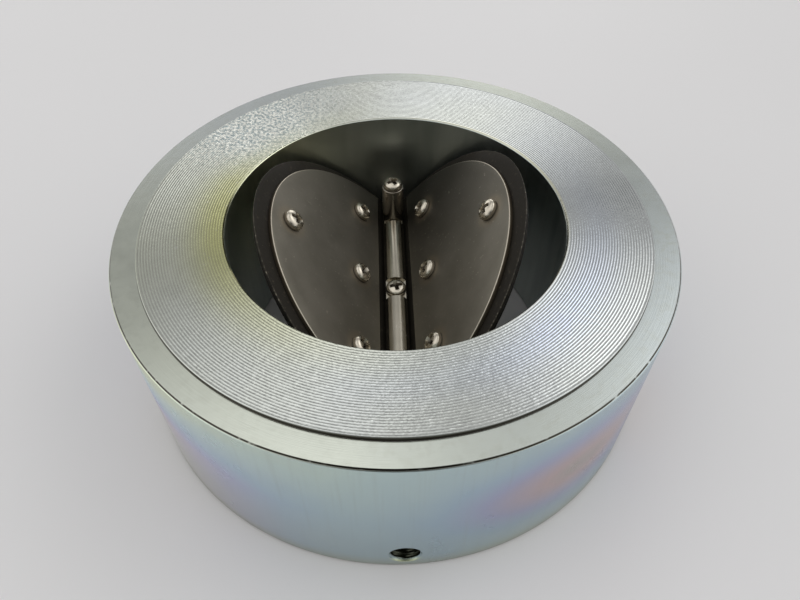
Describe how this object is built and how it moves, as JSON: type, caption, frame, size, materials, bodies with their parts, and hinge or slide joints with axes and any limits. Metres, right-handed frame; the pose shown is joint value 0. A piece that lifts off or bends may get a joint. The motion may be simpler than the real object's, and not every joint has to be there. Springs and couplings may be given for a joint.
{
  "type": "wafer check valve",
  "caption": "Wafer check valve: a plain plated ring with two rubber-faced steel flaps that hinge in a V on a clamped strip across the bore.",
  "frame": {"origin": "centre of the lower flange face, on the bore's axis", "axes": "+Z along the bore in the direction of flow; +Y along the clamp rod, towards the rear; +X towards the right flap"},
  "size_m": [0.173, 0.173, 0.0712],
  "materials": {
    "zinc_plated_steel": "turned steel, zinc plated with clear iridescent passivation",
    "zinc_plated_bar": "cold drawn bar, zinc plated",
    "bright_rod": "bright drawn stainless steel",
    "stop_sleeve": "nickel plated tube",
    "bright_screw": "bright nickel plated",
    "zinc_plated_screw": "zinc plated",
    "flap_plate": "dull stainless sheet, cold rolled",
    "rubber": "matte, fabric reinforced, cut edges"
  },
  "bodies": {
    "body": {"valve_body": "zinc_plated_steel", "crossbar": "zinc_plated_bar", "clamp_rod": "bright_rod", "rubber_clamped_strip": "rubber", "rear_stop_sleeve": "stop_sleeve", "rear_stop_screw": "bright_screw", "centre_clamp_screw": "bright_screw", "front_clamp_screw": "bright_screw", "rear_set_screw": "zinc_plated_screw", "front_set_screw": "zinc_plated_screw", "left_rubber_hinge": "rubber", "right_rubber_hinge": "rubber"},
    "left_flap": {"left_rubber_leaf": "rubber", "left_top_plate": "flap_plate", "left_backing_plate": "flap_plate", "left_flap_screws": "bright_screw", "left_flap_lock_washers": "bright_screw", "left_flap_nuts": "bright_screw"},
    "right_flap": {"right_rubber_leaf": "rubber", "right_top_plate": "flap_plate", "right_backing_plate": "flap_plate", "right_flap_screws": "bright_screw", "right_flap_lock_washers": "bright_screw", "right_flap_nuts": "bright_screw"}
  },
  "joints": [
    {"name": "left_flap_hinge", "type": "hinge", "parent": "body", "child": "left_flap", "pos_m": [0, 0, 0.023], "axis": [0, 1, 0], "range_deg": [-14.2, 23.8], "stiffness_Nm_per_rad": 0.17, "springref_deg": 7.74, "deforming": ["left_rubber_hinge"]},
    {"name": "right_flap_hinge", "type": "hinge", "parent": "body", "child": "right_flap", "pos_m": [0, 0, 0.023], "axis": [0, -1, 0], "range_deg": [-19, 19], "stiffness_Nm_per_rad": 0.17, "springref_deg": 7.2, "deforming": ["right_rubber_hinge"]}
  ]
}
